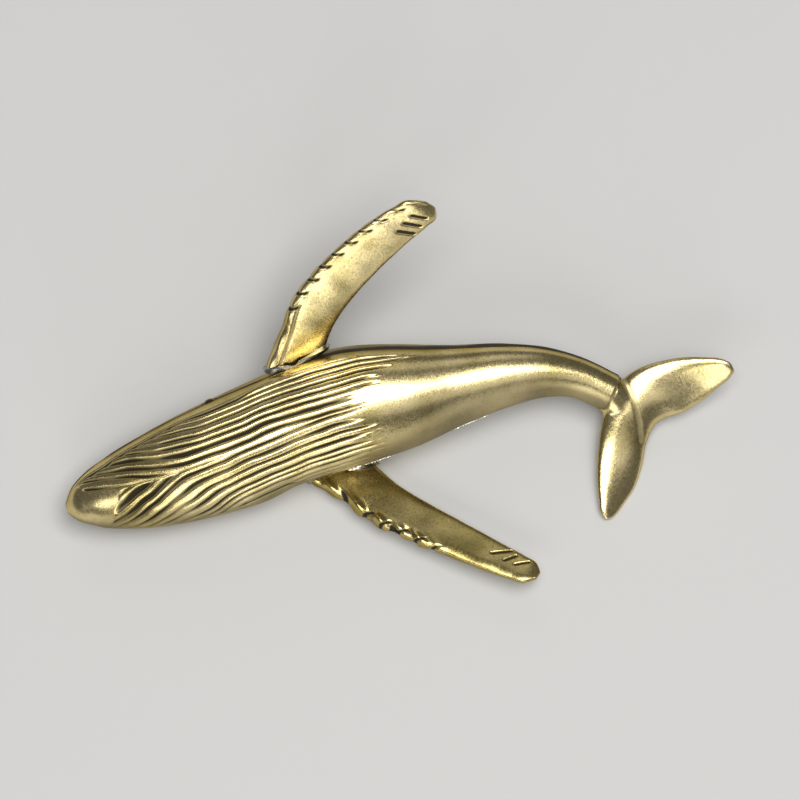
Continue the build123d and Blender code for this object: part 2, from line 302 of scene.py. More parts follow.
def carve(piece, material, crown, depth, width, wobble=0.0, wobble_scale=120.0, seed=1.0):
    # Runs the carving on a piece and leaves it a plain mesh
    modifier = piece.modifiers.new("carving", "NODES")
    modifier.node_group = CARVED_LANDS
    wanted = {
        "Crown": crown * MM,
        "Groove depth": depth * MM,
        "Groove width": width,
        "Wobble": wobble,
        "Wobble scale": wobble_scale,
        "Seed": seed,
        "Material": material,
    }
    for item in CARVED_LANDS.interface.items_tree:
        if item.in_out == "INPUT" and item.name in wanted:
            modifier[item.identifier] = wanted[item.name]
    graph = bpy.context.evaluated_depsgraph_get()
    plain = bpy.data.meshes.new_from_object(piece.evaluated_get(graph))
    piece.modifiers.remove(modifier)
    piece.data = plain
    plain.name = piece.name


def brass_finish(name, bright, worn, patina, grain):
    # Satin brass: bright on the lands, olive in patches, dark patina in the recesses and painted shade
    # where the flanks are darkened, both from one stored value
    material = bpy.data.materials.new(name)
    material.use_nodes = True
    nodes, link = material.node_tree.nodes, material.node_tree.links.new
    shader = nodes["Principled BSDF"]
    place = nodes.new("ShaderNodeTexCoord").outputs["Object"]

    def noise(scale, detail, rough):
        node = nodes.new("ShaderNodeTexNoise")
        node.inputs["Scale"].default_value = scale
        node.inputs["Detail"].default_value = detail
        node.inputs["Roughness"].default_value = rough
        link(place, node.inputs["Vector"])
        return node.outputs["Fac"]

    def remap(value, low, high, least, most):
        node = nodes.new("ShaderNodeMapRange")
        node.inputs["From Min"].default_value = low
        node.inputs["From Max"].default_value = high
        node.inputs["To Min"].default_value = least
        node.inputs["To Max"].default_value = most
        link(value, node.inputs["Value"])
        return node.outputs["Result"]

    def blend(share, first, second):
        node = nodes.new("ShaderNodeMix")
        node.data_type = "RGBA"
        link(share, node.inputs["Factor"])
        for socket, value in ((node.inputs[6], first), (node.inputs[7], second)):
            if isinstance(value, tuple):
                socket.default_value = (*value, 1)
            else:
                link(value, socket)
        return node.outputs[2]

    # The stored value darkens and dulls the brass: patina in grooves and hollows, painted shade on the
    # flanks
    patina_and_shade = nodes.new("ShaderNodeAttribute")
    patina_and_shade.attribute_name = "patina_and_shade"
    patches = remap(noise(140, 4, 0.6), 0.38, 0.68, 0, 1)
    speckle = noise(2400, 4, 0.7)
    dark = remap(patina_and_shade.outputs["Fac"], 0.10, 0.62, 0, 0.98)
    pits = remap(speckle, 0.56, 0.72, 0, 0.4)
    tone = blend(patches, bright, worn)
    tone = blend(pits, tone, patina)
    link(blend(dark, tone, patina), shader.inputs["Base Color"])
    link(remap(patina_and_shade.outputs["Fac"], 0.1, 0.6, 1.0, 0.1), shader.inputs["Metallic"])
    link(remap(patina_and_shade.outputs["Fac"], 0.1, 0.6, 0.5, 0.1), shader.inputs["Specular IOR Level"])
    shine = nodes.new("ShaderNodeMath")
    shine.operation = "ADD"
    link(remap(speckle, 0.3, 0.75, 0.17, 0.34), shine.inputs[0])
    link(remap(patina_and_shade.outputs["Fac"], 0.1, 0.8, 0.0, 0.35), shine.inputs[1])
    link(shine.outputs[0], shader.inputs["Roughness"])
    bump = nodes.new("ShaderNodeBump")
    bump.inputs["Strength"].default_value = grain
    bump.inputs["Distance"].default_value = 0.05 * MM
    link(speckle, bump.inputs["Height"])
    link(bump.outputs["Normal"], shader.inputs["Normal"])
    shader.inputs["Specular Tint"].default_value = (*EDGE_TINT, 1)
    return material


BRIGHT_BRASS = (0.81, 0.67, 0.35)
WORN_BRASS = (0.52, 0.42, 0.17)
DARK_PATINA = (0.020, 0.018, 0.012)
EDGE_TINT = (0.45, 0.37, 0.22)
body_brass = brass_finish("body_brass", BRIGHT_BRASS, WORN_BRASS, DARK_PATINA, BRASS_GRAIN)


def throat_fields(places, angles, width):
    # Phase and strength of the pleats, lip line, swollen cheek and painted shade on the right flank over
    # the belly's skin
    along = np.broadcast_to((BODY_LENGTH * (places - 0.5))[:, None], (len(places), len(angles)))
    radius = (width * (1 + BELLY_RATIO) / 2)[:, None]
    across = radius * (math.pi / 2 - angles)[None, :]
    from_rim = radius * np.minimum(angles, math.pi - angles)[None, :]
    left = across > APEX_SIDE
    beside = np.abs(across - APEX_SIDE)

    def ahead(start):
        gap = start - along
        return (gap + np.sqrt(gap * gap + 1)) / 2

    bend = np.where(left, LEFT_SLANT, RIGHT_SLANT) * ahead(APEX_PLACE + BEND_LAG * beside)
    shift = np.where(left, 0, RIGHT_SHIFT) * ease(*RIGHT_SHIFT_BREADTH, beside)
    shift = shift * ease(*RIGHT_SHIFT_RUN, along)
    line = beside - bend - shift + PLEAT_RIPPLE * waves(3, 5.0, along, across)
    signed = np.where(left, line, -line)
    uneven = 0.08 * np.sin(2.1 * signed) + 0.05 * np.sin(4.7 * signed + 1)
    phase = signed / PLEAT_SPACING + uneven + FIRST_PLEAT
    number = np.floor(phase)
    # Each pleat ends at its own place, in no regular order
    stagger = 1.8 * np.sin(number * 12.9898) + 1.2 * np.sin(number * 4.1 + 1)
    share = np.clip(across / BELLY_BREADTH, -1, 1)
    last = PLEAT_END + np.where(left, LEFT_RUN, RIGHT_RUN) * share * share + stagger
    before_apex = ease(*APEX_FADE, along - APEX_PLACE)
    past_chin = along - np.where(left, LEFT_CHIN, RIGHT_CHIN)
    narrow = np.where(left, LEFT_NARROW, RIGHT_NARROW) * ease(*CHIN_FADE, past_chin)
    inside_v = before_apex * ease(*V_EDGE, line + narrow)
    along_keel = before_apex * ease(*KEEL_EDGE, beside)
    chin = 1 - (1 - inside_v) * (1 - along_keel)
    left_cheek = LEFT_CHEEK * ease(*LEFT_CHEEK_RISE, along) * ease(*LEFT_CHEEK_FALL, along)
    left_lip = LEFT_LIP * ease(*LEFT_LIP_RISE, along) + left_cheek
    right_cheek = RIGHT_CHEEK * ease(*RIGHT_CHEEK_RISE, along) * ease(*RIGHT_CHEEK_FALL, along)
    right_lip = RIGHT_LIP * radius + right_cheek
    lip_place = np.where(left, left_lip, right_lip)
    land = ease(0.0, PLEAT_FADE, last - along) * (1 - chin)
    land = land * ease(lip_place, lip_place + LIP_EDGE, from_rim)
    land = land * (1 - PLEAT_PATCHINESS + PLEAT_PATCHINESS * waves(5, 1.8, along, across))
    lip = np.exp(-(((from_rim - lip_place) / LIP_WIDTH) ** 2))
    lip = lip * ease(*LIP_END, along) * ease(*LIP_START, along)
    along_cheek = (along - CHEEK_PLACE) / CHEEK_LENGTH
    across_cheek = (from_rim - CHEEK_LEVEL) / CHEEK_BREADTH
    cheek = np.exp(-(along_cheek ** 2) - across_cheek ** 2) * np.where(left, 0, CHEEK_SWELL)
    # Painted shade on the right flank, from its rim up, reaching further toward the tail stock
    stock = STOCK_SHADE * ease(*STOCK_SHADE_RUN, along)
    clear, full = FLANK_SHADE_EDGE
    shade = FLANK_SHADE * ease(clear + stock, full + stock, (math.pi - angles)[None, :])
    shade = shade * (1 - FLANK_PATCHINESS + FLANK_PATCHINESS * waves(17, 4.0, along, across))
    return phase, land, lip, cheek, shade


def belly_shell():
    pleated = np.linspace(BODY_STATIONS[0][0], PLEATED_END, PLEATED_ROWS)
    plain = np.linspace(PLEATED_END, 1.0, BELLY_ROWS - PLEATED_ROWS + 1)[1:]
    places = np.concatenate((pleated, plain))
    angles = np.linspace(0, math.pi, BELLY_COLUMNS)
    middle, side, width, _ = body_frame(places)
    phase, land, lip, cheek, shade = throat_fields(places, angles, width)
    swell = width[:, None] - LIP_DEPTH * lip + cheek
    skin = middle[:, None] + side[:, None] * (swell * np.cos(angles))[..., None]
    skin = skin + np.array((0, 0, 1)) * (SEAM / 2 + swell * BELLY_RATIO * np.sin(angles))[..., None]
    shares = np.linspace(-1, 1, RIM_COLUMNS + 2)[1:-1]
    rim = middle[:, None] + side[:, None] * (width[:, None] * shares)[..., None]
    rim = rim + np.array((0, 0, SEAM / 2))
    points, faces = lattice(np.concatenate((skin, rim), axis=1))
    blank = np.zeros((BELLY_ROWS, RIM_COLUMNS))
    # The lip line's patina and the painted flank shade share one darkening value
    fields = {"phase": phase, "land": land, "patina_and_shade": np.maximum(LIP_DARK * lip, shade)}
    named = {key: with_ends(np.concatenate((value, blank), axis=1)) for key, value in fields.items()}
    return points, faces, named


belly_casting = make_piece("belly_casting_skin", [belly_shell()])
carve(
    belly_casting, body_brass, PLEAT_CROWN, PLEAT_GROOVE, PLEAT_WIDTH,
    PLEAT_WOBBLE, PLEAT_WOBBLE_SCALE, PLEAT_SEED,
)
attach(belly_casting, "root")
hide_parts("belly_casting")


# Back casting: upper jaw, back, eyes and low dorsal fin, the upper half of the hollow body. It is cast
# in the same brass, and its flanks swell a little past the belly casting where the two are soldered.
BACK_ROWS = 330
BACK_COLUMNS = 130
FLANK_BULGE = 0.10
BULGE_FROM = 0.3
BULGE_FADE = 0.15
BULGE_LEAST = 0.2
FLANK_DROP = 0.3
EYE_PLACE = 0.312
EYE_RADIUS = 0.75
EYE_DROP = 1.1
EYE_STAND = 0.45
EYE_RING = 1.15
EYE_RING_WIDTH = 0.22
EYE_RING_DEPTH = 0.2
RIM_ROUND = 0.22
# Dark band on the back casting beyond the seam: patina at the joint and painted shade of the flank turned
# away, widened into strips on the left behind the middle and on the right toward the tail
SEAM_PATINA_AND_SHADE_DEPTH = 1.1
SHADE_STRIP_DEPTH = 1.4
LEFT_SHADE_STRIP_RUN = (-8, 0)
RIGHT_SHADE_STRIP_RUN = (8, 22)
FIN_PLACE = 0.68
FIN_HEIGHT = 3.2
FIN_CHORD = 7.0
FIN_THICKNESS = 2.4
FIN_RAKE = 3.0
FIN_ROOT = 1.2
FIN_ROWS = 40
FIN_COLUMNS = 64
FIN_STATIONS = ((0, 0, 1, 1), (0.6, 0.5, 0.55, 0.6), (0.9, 0.9, 0.28, 0.36), (1, 1, 0.16, 0.25))
BLOWHOLE_PLACE = 0.30
BLOWHOLE_APART = 0.8
BLOWHOLE_SHAPE = np.array((0.45, 1.6, 0.6))
BLOWHOLE_SIZE = 0.5
BLOWHOLE_DEPTH = 0.35


def back_shell():
    places = np.linspace(BODY_STATIONS[0][0], 1.0, BACK_ROWS)
    angles = np.linspace(math.pi, 2 * math.pi, BACK_COLUMNS)
    middle, side, width, depth = body_frame(places)
    swell = width * FLANK_BULGE * np.clip((places - BULGE_FROM) / BULGE_FADE, BULGE_LEAST, 1)
    drop = SEAM / 2 + (depth - SEAM / 2) * FLANK_DROP
    flank = ease(0, 0.5, -np.sin(angles))
    reach = width[:, None] + swell[:, None] * flank
    past_rim = ease(0, RIM_ROUND, -np.sin(angles))
    level = -drop[:, None] * past_rim - SEAM / 2 * (1 - past_rim)
    level = level + (depth - drop)[:, None] * np.sin(angles) * ease(0.0, 0.6, -np.sin(angles))
    skin = middle[:, None] + side[:, None] * (reach * np.cos(angles))[..., None]
    skin = skin + np.array((0, 0, 1)) * level[..., None]
    # Darker beyond the seam: patina at the joint and painted shade on the flanks, widened in strips
    below = np.minimum(-level - SEAM / 2, 3)
    left_shade_strip = ease(*LEFT_SHADE_STRIP_RUN, skin[..., 0])
    right_shade_strip = ease(*RIGHT_SHADE_STRIP_RUN, skin[..., 0])
    shade_strip = np.where(np.cos(angles) > 0, left_shade_strip, right_shade_strip)
    dark = np.exp(-((below / (SEAM_PATINA_AND_SHADE_DEPTH + SHADE_STRIP_DEPTH * shade_strip)) ** 2)) * (0.75 + 0.25 * shade_strip)
    dark = dark * (0.9 + 0.1 * waves(14, 3.0, skin[..., 0], skin[..., 2]))
    eye_row = np.argmin(abs(places - EYE_PLACE))
    row = np.argmin(abs(places - BLOWHOLE_PLACE))
    for direction in (1, -1):
        eye = middle[eye_row] + np.array((0, 0, -EYE_DROP))
        eye = eye + direction * side[eye_row] * width[eye_row]
        away = np.linalg.norm(skin - eye, axis=-1)
        ball = EYE_RADIUS * EYE_STAND * np.sqrt(np.clip(1 - (away / EYE_RADIUS) ** 2, 0, 1))
        ring = np.exp(-((away - EYE_RING) / EYE_RING_WIDTH) ** 2)
        skin = skin + direction * side[:, None] * (ball - EYE_RING_DEPTH * ring)[..., None]
        dark = np.maximum(dark, ring)
        slit = middle[row] + direction * side[row] * BLOWHOLE_APART + np.array((0, 0, -depth[row]))
        gap = (skin - slit) * BLOWHOLE_SHAPE
        hole = np.exp(-(np.linalg.norm(gap, axis=-1) / BLOWHOLE_SIZE) ** 2)
        skin = skin + np.array((0, 0, 1)) * (BLOWHOLE_DEPTH * hole)[..., None]
        dark = np.maximum(dark, hole)
    shares = np.linspace(1, -1, RIM_COLUMNS + 2)[1:-1]
    rim = middle[:, None] + side[:, None] * (width[:, None] * shares)[..., None]
    rim = rim - np.array((0, 0, SEAM / 2))
    points, faces = lattice(np.concatenate((skin, rim), axis=1))
    blank = np.zeros((BACK_ROWS, RIM_COLUMNS))
    return points, faces, {"patina_and_shade": with_ends(np.concatenate((dark, blank), axis=1))}


def fin_shell():
    places = np.array((FIN_PLACE - 0.01, FIN_PLACE, FIN_PLACE + 0.01))
    middle, _, _, depth = body_frame(places)
    rises = np.linspace(0, 1, FIN_ROWS)
    rake, chord, thickness = smooth_rows(FIN_STATIONS, rises).T
    turn = np.linspace(0, 2 * math.pi, FIN_COLUMNS, endpoint=False)
    x = middle[1, 0] + (rake * FIN_RAKE)[:, None] + (chord * FIN_CHORD / 2)[:, None] * np.cos(turn)
    y = middle[1, 1] + (thickness * FIN_THICKNESS / 2)[:, None] * np.sin(turn)
    z = np.broadcast_to((FIN_ROOT - depth[1] - rises * (FIN_HEIGHT + FIN_ROOT))[:, None], x.shape)
    points, faces = lattice(np.stack((x, y, z), axis=-1)[::-1])
    return points, faces, {}


back_casting = make_piece("back_casting_skin", [back_shell(), fin_shell()])
carve(back_casting, body_brass, 0, 0, 0.1)
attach(back_casting, "root")
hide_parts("back_casting")


# Flippers: two long cast brass blades with a row of round knobs along the leading edge. Each has a peg
# through the wall of the back casting and is soldered there. Strokes are cut near the tip, the left
# one has a fold at its root, and the right one kept a crust of rough lumps from the casting.
FLIPPER_ROWS = 260
FLIPPER_COLUMNS = 150
FLIPPER_REACH = 31.4
FLIPPER_CURL = 0.15
FLIPPER_CHORD = 7.8
FLIPPER_THICKNESS = 2.5
FLIPPER_DROP = 2.2
KNOB_COUNT = 10
KNOB_FROM = 0.2
KNOB_TO = 0.95
KNOB_CROWN = 0.07
KNOB_GROOVE = 0.10
KNOB_WIDTH = 0.22
KNOB_BAND = 1.5
KNOB_TAPER = 0.45
KNOB_EDGE = 0.2
KNOB_START = (0.12, 0.2)
KNOB_STOP = (1.0, 0.95)
KNOB_FADE = 0.08
KNOB_WOBBLE = 0.15
KNOB_WOBBLE_SCALE = 150.0
KNOB_SEED = 5.0
NOTCH_INSET = 0.85
NOTCH_DEPTH = 0.16
NOTCH_LENGTH = 0.15
NOTCH_WIDTH = 0.24
NOTCH_START = (0.16, 0.22)
NOTCH_FADE = 0.03
FOLD_INSET = 1.5
FOLD_SLANT = 1.6
FOLD_WIDTH = 0.24
FOLD_END = (0.30, 0.22)
STROKE_DEPTH = 0.22
STROKE_DARK = 0.85
FOLD_DARK = 2.2
CRUST_EDGE = (1.8, 0.3)
CRUST_END = (0.62, 0.45)
CAST_UNEVEN = 0.03
KNOB_SLANT = 0.36
FACE_FLATNESS = 0.6

# Share of the length, leading and trailing edge as shares of the chord, thickness
FLIPPER_STATIONS = (
    (-0.10, 0.50, 0.50, 1.00),
    (0.10, 0.57, 0.42, 1.00),
    (0.28, 0.70, 0.29, 0.82),
    (0.45, 0.67, 0.29, 0.70),
    (0.62, 0.62, 0.31, 0.62),
    (0.78, 0.55, 0.32, 0.54),
    (0.90, 0.46, 0.32, 0.46),
    (0.97, 0.34, 0.26, 0.38),
    (0.997, 0.14, 0.11, 0.20),
)

# Pose of each flipper and how it was worked: the last place with a notch between knobs, height of the
# cast lumps and of the fold behind the leading edge, breadth of the strokes, place of the ridge along
# the blade at root and tip, and twist of the blade in degrees
FLIPPERS = {
    "left_flipper": dict(
        side=1, place=0.463, sweep=52.5, bow=2.1, tip_rise=7.0, tip=1.0,
        last_notch=0.97, lump=0.05, fold=0.16, fine=1.0, ridge=0.30, tip_ridge=0.30, twist=0,
    ),
    "right_flipper": dict(
        side=-1, place=0.494, sweep=49.0, bow=0.4, tip_rise=13.0, tip=0.7,
        last_notch=0.55, lump=0.26, fold=0.0, fine=0.6, ridge=0.13, tip_ridge=0.30, twist=-11,
    ),
}

# Strokes cut near the tip of the left (1) and the right (-1) flipper: start and end, each as a share of
# the length and a distance behind the leading edge, and half the width of the cut
FLIPPER_STROKES = {
    1: (
        (0.814, 3.9, 0.840, 5.9, 0.30),
        (0.862, 3.3, 0.888, 5.2, 0.30),
        (0.911, 2.7, 0.934, 4.4, 0.27),
    ),
    -1: (
        (0.780, 3.6, 0.845, 5.9, 0.42),
        (0.842, 3.2, 0.873, 5.2, 0.36),
        (0.891, 3.1, 0.935, 4.9, 0.36),
    ),
}


def teardrop(lead, trail, thickness, turn, flatness, ridge):
    # Blade section with flattened faces, thickest at a ridge behind the leading edge
    thick = lead - (lead + trail) * ridge
    front = np.cos(turn) > 0
    x = thick + np.where(front, lead - thick, thick + trail) * np.cos(turn)
    return x, thickness / 2 * np.sign(np.sin(turn)) * np.abs(np.sin(turn)) ** flatness


def flipper_shell(
    side, place, sweep, bow, tip_rise, tip, last_notch, lump, fold, fine, ridge, tip_ridge, twist
):
    shares = np.linspace(FLIPPER_STATIONS[0][0], FLIPPER_STATIONS[-1][0], FLIPPER_ROWS)
    lead, trail, thickness = (smooth_rows(FLIPPER_STATIONS, shares).T)[:, :, None]
    turn = np.linspace(0, 2 * math.pi, FLIPPER_COLUMNS, endpoint=False)[None, :]
    chord = FLIPPER_CHORD * (1 - (1 - tip) * shares)[:, None]
    tall = thickness * FLIPPER_THICKNESS
    crest = (ridge + (tip_ridge - ridge) * ease(0.5, 0.7, shares))[:, None]
    x, y = teardrop(lead * chord, trail * chord, tall, turn, FACE_FLATNESS, crest)
    middle, _, width, _ = body_frame(np.array((place - 0.01, place, place + 0.01)))
    root = middle[1] + np.array((0, side * width[1], -FLIPPER_DROP))
    angle = math.radians(sweep)
    out = np.array((math.sin(angle), side * math.cos(angle), 0))
    slope = tip_rise * (1 - FLIPPER_CURL + 2 * FLIPPER_CURL * shares)
    rise = tip_rise * shares * (1 - FLIPPER_CURL + FLIPPER_CURL * shares)
    blade = out * FLIPPER_REACH + np.array((0, 0, 1)) * slope[:, None]
    blade /= np.linalg.norm(blade, axis=1)[:, None]
    front = blade * blade[:, :1] - np.array((1, 0, 0))
    front /= np.linalg.norm(front, axis=1)[:, None]
    top = np.cross(blade, front)
    line = root + out * (shares * FLIPPER_REACH)[:, None] + np.array((0, 0, 1)) * rise[:, None]
    line = line + front * (4 * bow * shares * (1 - shares))[:, None]
    from_edge = lead * chord - x
    along = np.broadcast_to(shares[:, None], x.shape)
    inset = from_edge * FLIPPER_CHORD / chord
    knobs = (along - KNOB_FROM) / (KNOB_TO - KNOB_FROM) * (KNOB_COUNT - 1) + 0.5
    knobs = knobs - KNOB_SLANT * (inset - NOTCH_INSET)
    size = 1 - KNOB_TAPER * np.clip((along - KNOB_FROM) / (KNOB_TO - KNOB_FROM), 0, 1)
    band = ease(KNOB_BAND, KNOB_EDGE, from_edge / size) * ease(*KNOB_START, along) * ease(*KNOB_STOP, along)
    band = band * size * ease(last_notch + KNOB_FADE, last_notch, along)
    length = along * FLIPPER_REACH
    between = np.abs(knobs - np.round(knobs))
    notch = np.exp(-((between / NOTCH_LENGTH) ** 2) - ((inset - NOTCH_INSET) / NOTCH_WIDTH) ** 2)
    notch = notch * ease(*NOTCH_START, along) * ease(last_notch + NOTCH_FADE, last_notch, along)
    crimp = np.exp(-(((inset - FOLD_INSET + FOLD_SLANT * along) / FOLD_WIDTH) ** 2))
    crimp = crimp * ease(*FOLD_END, along)
    cut = np.zeros(x.shape)
    for start, start_depth, finish, finish_depth, half in FLIPPER_STROKES[side]:
        run = np.array(((finish - start) * FLIPPER_REACH, finish_depth - start_depth))
        step = (length - start * FLIPPER_REACH) * run[0] + (inset - start_depth) * run[1]
        step = np.clip(step / (run @ run), 0, 1)
        past = length - start * FLIPPER_REACH - step * run[0]
        off = np.hypot(past, inset - start_depth - step * run[1])
        cut = np.maximum(cut, 1 - ease(0.5 * half * fine, 1.4 * half * fine, off))
    crust = ease(*CRUST_EDGE, from_edge) * ease(*CRUST_END, along)
    rough = crust * lump * waves(21, 0.6, 0.7 * length, x)
    folds = ease(0.3, 0.9, np.abs(rough) / max(lump, 0.1)) * ease(0.1, 0.3, lump)
    carved = rough - STROKE_DEPTH * cut - NOTCH_DEPTH * notch - fold * crimp
    y = y + (carved + CAST_UNEVEN * waves(8, 1.4, length, x)) * np.sign(y)
    x = x + 0.6 * rough
    turned = np.radians(twist * ease(-0.1, 0.2, along))
    x, y = x * np.cos(turned) - y * np.sin(turned), x * np.sin(turned) + y * np.cos(turned)
    points, faces = lattice(line[:, None] + front[:, None] * x[..., None] + top[:, None] * y[..., None])
    patina_and_shade = np.max((STROKE_DARK * cut, notch, folds * (rough < 0), FOLD_DARK * fold * crimp), axis=0)
    fields = {"phase": knobs, "land": band, "patina_and_shade": patina_and_shade}
    return points, faces, {key: with_ends(value) for key, value in fields.items()}


# The right flipper gets a darker olive copy of the brass: painted shade, standing in for the darker look
# its face has from how light falls on it
SHADED_OLIVE_BRASS = (0.62, 0.50, 0.21)
SHADED_DARK_OLIVE = (0.40, 0.32, 0.11)
FLIPPER_FINISH = {
    "left_flipper": body_brass,
    "right_flipper": brass_finish("shaded_olive_brass", SHADED_OLIVE_BRASS, SHADED_DARK_OLIVE, DARK_PATINA, BRASS_GRAIN),
}
for name, posed in FLIPPERS.items():
    flipper = make_piece(name + "_blade", [flipper_shell(**posed)])
    carve(
        flipper, FLIPPER_FINISH[name], KNOB_CROWN, KNOB_GROOVE, KNOB_WIDTH,
        KNOB_WOBBLE, KNOB_WOBBLE_SCALE, KNOB_SEED + posed["side"],
    )
    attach(flipper, "root")
    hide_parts(name)


# Tail fluke: one cast brass piece of two swept lobes with a hub that meets the tail stock. A peg behind
# the hub enters the stock and the crease is soldered. The trailing edge has a notch in the middle.
FLUKE_ROWS = 260
FLUKE_COLUMNS = 120
FLUKE_SPAN = 29.8
FLUKE_CHORD = 9.0
FLUKE_SWEEP = 10.2
FLUKE_THICKNESS = 2.8
FLUKE_CUP = 3.3
FLUKE_TILT = 1.2
FLUKE_SKEW = 0.8
FLUKE_TURN = math.radians(54)
FLUKE_SOLDER = 0.25
HUB_LENGTH = 5.2
HUB_REACH = 5.0
HUB_BEND = 3.6
HUB_RISE = 0.9
HUB_WIDTH = 0.75
HUB_HEIGHT = 0.5
HUB_ROWS = 40
HUB_COLUMNS = 72
HUB_LAP = 2.4
HUB_SWELL = 0.04
FAR_BREADTH = 0.2
FAR_TIP_BREADTH = 0.12
LOBE_PILLOW = 1.35
LOBE_RIDGE = 0.4
LOBE_UNEVEN = 0.06
MELT_GRAIN = 0.14
MELT_PASSES = 80
FLUKE_STATIONS = (
    (0.00, 0.00, 0.90, 1.00),
    (0.18, 0.02, 0.91, 0.86),
    (0.34, 0.10, 0.94, 0.70),
    (0.59, 0.32, 0.83, 0.52),
    (0.76, 0.52, 0.63, 0.42),
    (0.89, 0.72, 0.42, 0.33),
    (0.97, 0.87, 0.22, 0.22),
    (0.998, 0.97, 0.05, 0.10),
)
BOTH_LOBES = [(-row[0], *row[1:]) for row in FLUKE_STATIONS[:0:-1]] + list(FLUKE_STATIONS)
fluke_back = np.array((math.cos(FLUKE_TURN), -math.sin(FLUKE_TURN), 0))
fluke_side = np.array((math.sin(FLUKE_TURN), math.cos(FLUKE_TURN), 0))


def fluke_seat():
    middle, side, width, depth = body_frame(np.array((0.955, 0.98, 1.0)))
    way = np.cross(side[-1], (0, 0, 1))
    return middle[-1] + way * FLUKE_SOLDER, side[-1], width[-1], depth[-1]


def fluke_shells():
    seat, side, width, depth = fluke_seat()
    shares = np.linspace(-FLUKE_STATIONS[-1][0], FLUKE_STATIONS[-1][0], FLUKE_ROWS)
    lead, chord, thickness = (smooth_rows(BOTH_LOBES, shares).T)[:, :, None]
    turn = np.linspace(0, 2 * math.pi, FLUKE_COLUMNS, endpoint=False)[None, :]
    broad = 1 + FAR_BREADTH * ease(0.0, 0.3, shares) + FAR_TIP_BREADTH * ease(0.6, 0.95, shares)
    chord = chord * broad[:, None]
    half = chord * FLUKE_CHORD / 2
    x, y = teardrop(half, half, thickness * FLUKE_THICKNESS * LOBE_PILLOW, turn, 1.0, LOBE_RIDGE)
    along = np.broadcast_to(shares[:, None], x.shape)
    y = y * (1 + LOBE_UNEVEN * waves(11, 0.16, along, x / FLUKE_CHORD))
    middle = seat + fluke_side * (shares * FLUKE_SPAN / 2)[:, None]
    skew = 4 * FLUKE_SKEW * shares * (1 - np.abs(shares))
    middle = middle + fluke_back * (lead * FLUKE_SWEEP + half - skew[:, None])
    middle = middle + np.array((0, 0, 1)) * (FLUKE_CUP * shares ** 2 - FLUKE_TILT * shares)[:, None]
    lobes = middle[:, None] - fluke_back * x[..., None] - np.cross(fluke_side, fluke_back) * y[..., None]
    lobe_points, lobe_faces = lattice(lobes)
    belly = width * BELLY_RATIO + SEAM / 2
    steps = np.linspace(0, 1, HUB_ROWS)[:, None]
    way = np.cross(side, (0, 0, 1))
    start = seat - way * HUB_LAP + np.array((0, 0, (belly - depth) / 2))
    bend = seat + way * HUB_BEND
    end = seat + fluke_back * HUB_LENGTH - fluke_side * HUB_REACH + np.array((0, 0, HUB_RISE))
    line = start * (1 - steps) ** 2 + 2 * bend * steps * (1 - steps) + end * steps ** 2
    course = np.gradient(line, axis=0)
    course[:, 2] = 0
    course /= np.linalg.norm(course, axis=1)[:, None]
    across = np.cross((0, 0, 1), course)
    swell = 1 + HUB_SWELL * (2 * ease(0.0, 0.2, steps) - 1)
    wide = width * (1 + (HUB_WIDTH - 1) * steps) * swell
    tall = ((belly + depth) / 2 * (1 - steps) + HUB_HEIGHT * steps) * swell
    ring = np.linspace(0, 2 * math.pi, HUB_COLUMNS, endpoint=False)
    hub = line[:, None] + across[:, None] * (wide * np.cos(ring))[..., None]
    hub = hub + np.array((0, 0, 1)) * (tall * np.sin(ring))[..., None]
    hub_points, hub_faces = lattice(hub)
    return (lobe_points, lobe_faces, {}), (hub_points, hub_faces, {})


def melt(piece, grain, passes):
    # Runs the overlapping shells of a piece into one skin with soft inner corners
    remesh = piece.modifiers.new("one_skin", "REMESH")
    remesh.mode = "VOXEL"
    remesh.voxel_size = grain * MM
    soften = piece.modifiers.new("soften", "SMOOTH")
    soften.iterations = passes
    graph = bpy.context.evaluated_depsgraph_get()
    plain = bpy.data.meshes.new_from_object(piece.evaluated_get(graph))
    piece.modifiers.clear()
    piece.data = plain
    plain.name = piece.name
    plain.polygons.foreach_set("use_smooth", [True] * len(plain.polygons))


# Crease from the far lobe's root to the near lobe: places along and behind the span
FLUKE_CREASE = ((2.7, -0.2), (2.0, 1.5), (1.0, 3.4), (-0.8, 5.8), (-2.6, 7.8))
CREASE_DEPTH = 0.12
CREASE_WIDTH = 0.5
CREASE_DARK = 0.32


def crease(piece):
    # Presses the crease into the belly side of the fluke and darkens it
    mesh = piece.data
    places = np.empty(3 * len(mesh.vertices))
    normals = np.empty(3 * len(mesh.vertices))
    mesh.vertices.foreach_get("co", places)
    mesh.vertices.foreach_get("normal", normals)
    places, normals = places.reshape(-1, 3), normals.reshape(-1, 3)
    seat = fluke_seat()[0]
    middle, sideways, backwards = lay_down(np.stack((seat, seat + fluke_side, seat + fluke_back)))
    span = (places - middle) @ (sideways - middle) / MM ** 2
    behind = (places - middle) @ (backwards - middle) / MM ** 2
    off = np.full(len(places), 99.0)
    for (first, first_back), (second, second_back) in zip(FLUKE_CREASE, FLUKE_CREASE[1:]):
        run = np.array((second - first, second_back - first_back))
        step = np.clip(((span - first) * run[0] + (behind - first_back) * run[1]) / (run @ run), 0, 1)
        off = np.minimum(off, np.hypot(span - first - step * run[0], behind - first_back - step * run[1]))
    mark = np.exp(-((off / CREASE_WIDTH) ** 2)) * ease(0, 0.4, normals[:, 2])
    places = places - normals * (CREASE_DEPTH * MM * mark)[:, None]
    mesh.vertices.foreach_set("co", places.reshape(-1))
    column = mesh.attributes.new("patina_and_shade", "FLOAT", "POINT")
    column.data.foreach_set("value", (CREASE_DARK * mark).astype(np.float32))
    mesh.update()


tail_fluke = make_piece("tail_fluke_lobes", fluke_shells())
melt(tail_fluke, MELT_GRAIN, MELT_PASSES)
crease(tail_fluke)
tail_fluke.data.materials.append(body_brass)
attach(tail_fluke, "root")
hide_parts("tail_fluke")


